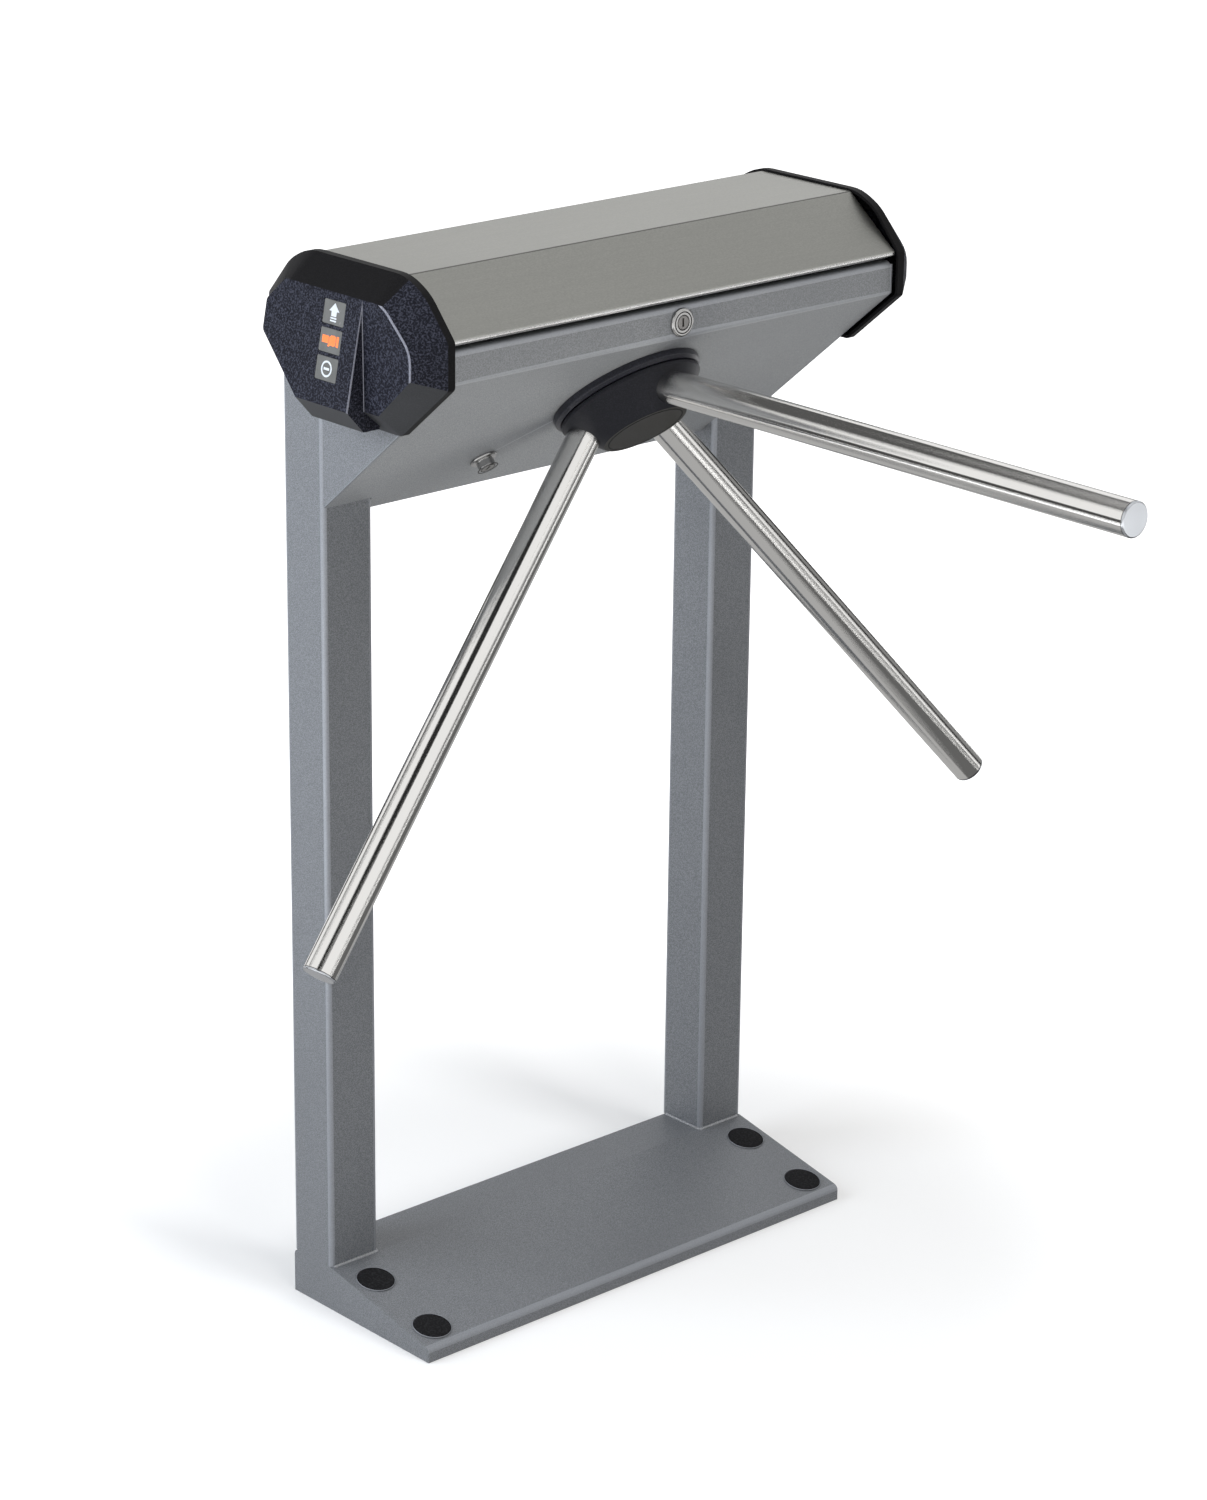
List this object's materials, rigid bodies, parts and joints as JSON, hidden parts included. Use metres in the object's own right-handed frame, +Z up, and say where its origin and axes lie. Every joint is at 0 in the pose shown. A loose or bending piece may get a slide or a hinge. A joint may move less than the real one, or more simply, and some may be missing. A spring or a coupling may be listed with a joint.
{
  "type": "tripod turnstile",
  "caption": "Waist-high tripod turnstile: an open floor frame carries a housing under a hinged cover, with tubular arms turning on an inclined hub.",
  "frame": {"origin": "centre of the pattern of floor anchor holes, on the floor", "axes": "+X along the housing towards the far end cap, +Y from the passage side to the back, +Z up"},
  "size_m": [0.8648, 0.7949, 1.055],
  "materials": {
    "frame_paint": "fine metallic powder coat",
    "cover_steel": "satin",
    "arm_steel": "polished stainless steel",
    "hub_black": "matte black",
    "hub_face": "satin",
    "cap_plastic": "fine grain",
    "window_pane": "smoked",
    "plug_plastic": "matte",
    "lock_chrome": "polished",
    "zinc_steel": "zinc plated",
    "gear_steel": "machined",
    "bearing_steel": "ground",
    "plate_steel": "yellow zinc",
    "cast_alloy": "machined casting",
    "damper_case": "satin black",
    "coil_case": "satin black",
    "board_green": "solder mask",
    "brass_part": "turned",
    "rubber_part": "moulded",
    "sensor_plastic": "moulded"
  },
  "bodies": {
    "frame": {"base_cover": "frame_paint", "floor_plate": "zinc_steel", "anchor_plugs": "plug_plastic", "near_post": "frame_paint", "far_post": "frame_paint", "near_side_plate": "frame_paint", "far_side_plate": "frame_paint", "housing_sheet_metal": "frame_paint", "cover_hinge_brackets": "zinc_steel", "near_end_cap": "cap_plastic", "far_end_cap": "cap_plastic", "near_windows": "window_pane", "far_windows": "window_pane", "near_indicator_board": "board_green", "far_indicator_board": "board_green", "cover_lock_barrel": "lock_chrome", "release_lock_barrel": "lock_chrome", "hub_flange": "hub_black", "mechanism_plate": "plate_steel", "mechanism_bolts": "zinc_steel", "bearing_housing": "cast_alloy", "lower_bearing": "bearing_steel", "upper_bearing": "bearing_steel", "crank_axle": "zinc_steel", "centring_spring": "zinc_steel", "spring_anchor": "zinc_steel", "damper_body": "damper_case", "near_solenoid": "coil_case", "far_solenoid": "coil_case", "solenoid_pedestals": "plate_steel", "sensor_bracket": "zinc_steel", "sensor_fork": "sensor_plastic", "control_board": "board_green", "board_standoffs": "brass_part", "cover_bumpers": "rubber_part", "release_switch": "sensor_plastic"},
    "tripod": {"hub_cone": "hub_black", "hub_cap": "hub_face", "hub_bolt": "zinc_steel", "blocking_arm": "arm_steel", "near_arm": "arm_steel", "far_arm": "arm_steel", "arm_end_plugs": "arm_steel", "main_shaft": "gear_steel", "index_gear": "gear_steel", "lock_disc": "gear_steel", "encoder_disc": "sensor_plastic", "shaft_nut": "zinc_steel"},
    "crank": {"crank_gear": "gear_steel"},
    "damper_rotor": {"damper_pinion": "gear_steel"},
    "cover": {"cover_shell": "cover_steel", "cover_catch": "zinc_steel", "cover_hinge_lugs": "zinc_steel"},
    "cover_lock": {"cover_lock_plug": "lock_chrome", "cover_lock_cam": "zinc_steel"},
    "release_lock": {"release_lock_plug": "lock_chrome", "release_lock_cam": "zinc_steel"},
    "near_bolt": {"near_lock_bolt": "bearing_steel"},
    "far_bolt": {"far_lock_bolt": "bearing_steel"}
  },
  "joints": [
    {"name": "tripod_spin", "type": "hinge", "parent": "frame", "child": "tripod", "pos_m": [0, -0.02729, 0.90204], "axis": [0, 0.6439, 0.7651], "continuous": true},
    {"name": "crank_spin", "type": "hinge", "parent": "frame", "child": "crank", "pos_m": [0, 0.07452, 0.90653], "axis": [0, 0.6439, 0.7651], "continuous": true, "deforming": ["centring_spring"]},
    {"name": "damper_spin", "type": "hinge", "parent": "frame", "child": "damper_rotor", "pos_m": [-0.0521, -0.02413, 0.98957], "axis": [0, 0.6439, 0.7651], "continuous": true},
    {"name": "cover_hinge", "type": "hinge", "parent": "frame", "child": "cover", "pos_m": [0, 0.1275, 0.9895], "axis": [-1, 0, 0], "range_deg": [0, 80]},
    {"name": "cover_lock_turn", "type": "hinge", "parent": "frame", "child": "cover_lock", "pos_m": [0, -0.1015, 0.97876], "axis": [0, 1, 0], "range_deg": [0, 90]},
    {"name": "release_lock_turn", "type": "hinge", "parent": "frame", "child": "release_lock", "pos_m": [-0.108, 0.04922, 0.83764], "axis": [0, 0.6439, 0.7651], "range_deg": [0, 90]},
    {"name": "near_bolt_slide", "type": "slide", "parent": "frame", "child": "near_bolt", "axis": [1, 0, 0], "range_m": [0, 0.008], "stiffness_N_per_m": 200},
    {"name": "far_bolt_slide", "type": "slide", "parent": "frame", "child": "far_bolt", "axis": [-1, 0, 0], "range_m": [0, 0.008], "stiffness_N_per_m": 200}
  ],
  "couplings": [
    {"joint": "crank_spin", "follows": "tripod_spin", "ratio": -3},
    {"joint": "damper_spin", "follows": "tripod_spin", "ratio": -3}
  ]
}
